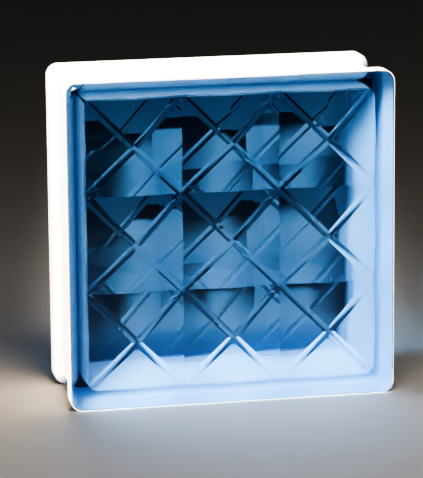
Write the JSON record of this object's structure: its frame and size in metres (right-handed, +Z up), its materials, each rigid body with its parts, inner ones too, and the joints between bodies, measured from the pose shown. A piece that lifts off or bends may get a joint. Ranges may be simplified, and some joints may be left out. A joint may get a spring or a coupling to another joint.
{
  "type": "glass block",
  "caption": "Square hollow glass block in blue pressed glass with a faceted pyramid relief inside, white-coated edges and a channel round the edges for mortar.",
  "frame": {"origin": "middle of the underside, on the plane of the two lower rim lands", "axes": "+Z up, Y through the block with the front face towards -Y, X across the face"},
  "size_m": [0.19, 0.08, 0.19],
  "materials": {
    "blue_glass": "polished, pressed blue glass",
    "white_coating": "matt white edge coating"
  },
  "bodies": {
    "root": {"front_half": "blue_glass", "back_half": "blue_glass", "edge_coating": "white_coating"}
  },
  "joints": []
}
